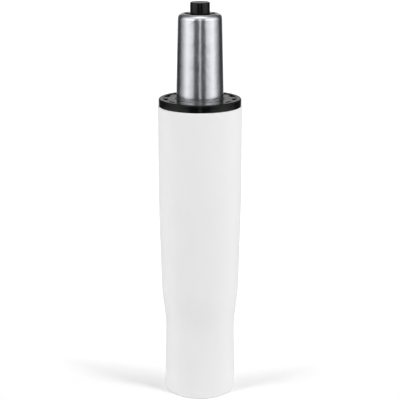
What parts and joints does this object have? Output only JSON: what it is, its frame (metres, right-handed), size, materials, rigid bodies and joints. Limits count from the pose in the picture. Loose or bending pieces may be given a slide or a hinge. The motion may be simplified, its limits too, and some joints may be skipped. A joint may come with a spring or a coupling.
{
  "type": "chair gas lift cylinder",
  "caption": "Height-adjusting gas spring for a swivel chair: white tapered column, black guide collar, tapered steel cylinder and a release button on top.",
  "frame": {"origin": "middle of the column's foot, on the plane of its rolled rim", "axes": "+Z along the column's axis, towards the button; X and Y are free, because the column is round"},
  "size_m": [0.05, 0.05, 0.241],
  "materials": {
    "column_paint": "smooth white powder coat, low gloss",
    "bush_plastic": "black moulded plastic, satin",
    "cylinder_steel": "bare steel, ground and satin",
    "cap_plastic": "black moulded plastic, matte",
    "button_plastic": "black moulded plastic, satin",
    "plate_steel": "zinc-plated pressed steel",
    "bearing_steel": "hardened ground steel",
    "ball_steel": "polished bearing steel",
    "cage_brass": "turned brass",
    "rod_steel": "hard chromed and polished",
    "spring_steel": "oiled dark spring steel",
    "black_rubber": "black rubber",
    "liner_steel": "drawn steel tube",
    "guide_plastic": "natural moulded plastic",
    "valve_alloy": "die-cast alloy"
  },
  "bodies": {
    "column": {"column_tube": "column_paint", "guide_bush": "bush_plastic", "bottom_plate": "plate_steel", "lower_race": "bearing_steel"},
    "bearing_cage": {"ball_cage": "cage_brass", "bearing_balls": "ball_steel"},
    "rod": {"piston_rod": "rod_steel", "upper_race": "bearing_steel", "bumper": "black_rubber", "clip_washer": "plate_steel", "retaining_clip": "spring_steel", "piston_backing": "plate_steel", "piston": "valve_alloy", "piston_seal": "black_rubber", "piston_washer": "plate_steel"},
    "cylinder": {"cylinder_tube": "cylinder_steel", "rod_guide": "guide_plastic", "rod_seal": "black_rubber", "seal_washer": "plate_steel", "liner_seat": "guide_plastic", "liner": "liner_steel", "valve_body": "valve_alloy", "body_seal": "black_rubber", "lower_pin_seal": "black_rubber", "valve_spacer": "cage_brass", "upper_pin_seal": "black_rubber", "valve_cap": "cap_plastic"},
    "button": {"valve_pin": "rod_steel", "release_button": "button_plastic"}
  },
  "joints": [
    {"name": "swivel", "type": "hinge", "parent": "column", "child": "rod", "pos_m": [0, 0, 0.018], "axis": [0, 0, 1], "continuous": true},
    {"name": "cage_roll", "type": "hinge", "parent": "column", "child": "bearing_cage", "pos_m": [0, 0, 0.0145], "axis": [0, 0, 1], "continuous": true},
    {"name": "lift", "type": "slide", "parent": "rod", "child": "cylinder", "axis": [0, 0, 1], "range_m": [0, 0.08]},
    {"name": "button_press", "type": "slide", "parent": "cylinder", "child": "button", "axis": [0, 0, -1], "range_m": [0, 0.003], "stiffness_N_per_m": 1500}
  ],
  "couplings": [
    {"joint": "cage_roll", "follows": "swivel", "ratio": 0.5}
  ]
}
